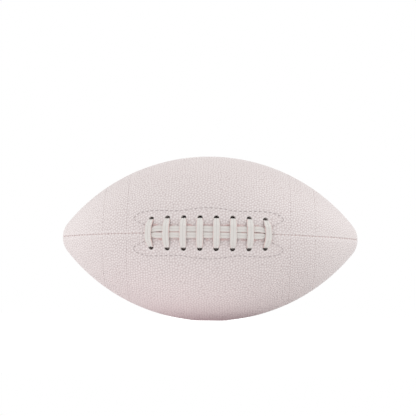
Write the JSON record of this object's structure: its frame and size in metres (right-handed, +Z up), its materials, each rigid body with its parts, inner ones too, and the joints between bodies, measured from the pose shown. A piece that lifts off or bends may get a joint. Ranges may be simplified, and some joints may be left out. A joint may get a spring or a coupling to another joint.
{
  "type": "american football",
  "caption": "Full-size american football: pebbled leather panels with turned seams and fabric linings round a rubber bladder, a laced opening with facings and a guard, and a needle valve.",
  "frame": {"origin": "centre of the ball, on its long axis at mid-length; the lacing stands about 3 mm proud on one side, so the box's own centre lies 1.5 mm from it", "axes": "+X along the long axis to the tip on the right of the lacing as one faces it, +Z up with the ball lying on its belly, -Y out through the laced opening"},
  "size_m": [0.2792, 0.1585, 0.1551],
  "materials": {
    "panel_leather": "pebbled, satin, white with a faint pink tone",
    "lining_fabric": "unbleached laminated cloth",
    "facing_fabric": "unbleached laminated cloth",
    "lace_tape": "satin grooved tape, off-white",
    "guard_leather": "smooth split leather",
    "bladder_rubber": "matt black",
    "valve_rubber": "matt black",
    "seam_thread": "waxed thread",
    "stitch_thread": "waxed thread"
  },
  "bodies": {
    "root": {"panel_upper_front": "panel_leather", "panel_lower_front": "panel_leather", "panel_upper_back": "panel_leather", "panel_lower_back": "panel_leather", "lining_upper_front": "lining_fabric", "lining_lower_front": "lining_fabric", "lining_upper_back": "lining_fabric", "lining_lower_back": "lining_fabric", "facing_upper": "facing_fabric", "facing_lower": "facing_fabric", "lace": "lace_tape", "lace_guard": "guard_leather", "bladder": "bladder_rubber", "valve": "valve_rubber", "seam_thread_front_left": "seam_thread", "seam_thread_front_right": "seam_thread", "seam_thread_top": "seam_thread", "seam_thread_back": "seam_thread", "seam_thread_bottom": "seam_thread", "facing_thread_upper": "stitch_thread", "facing_thread_lower": "stitch_thread"}
  },
  "joints": []
}
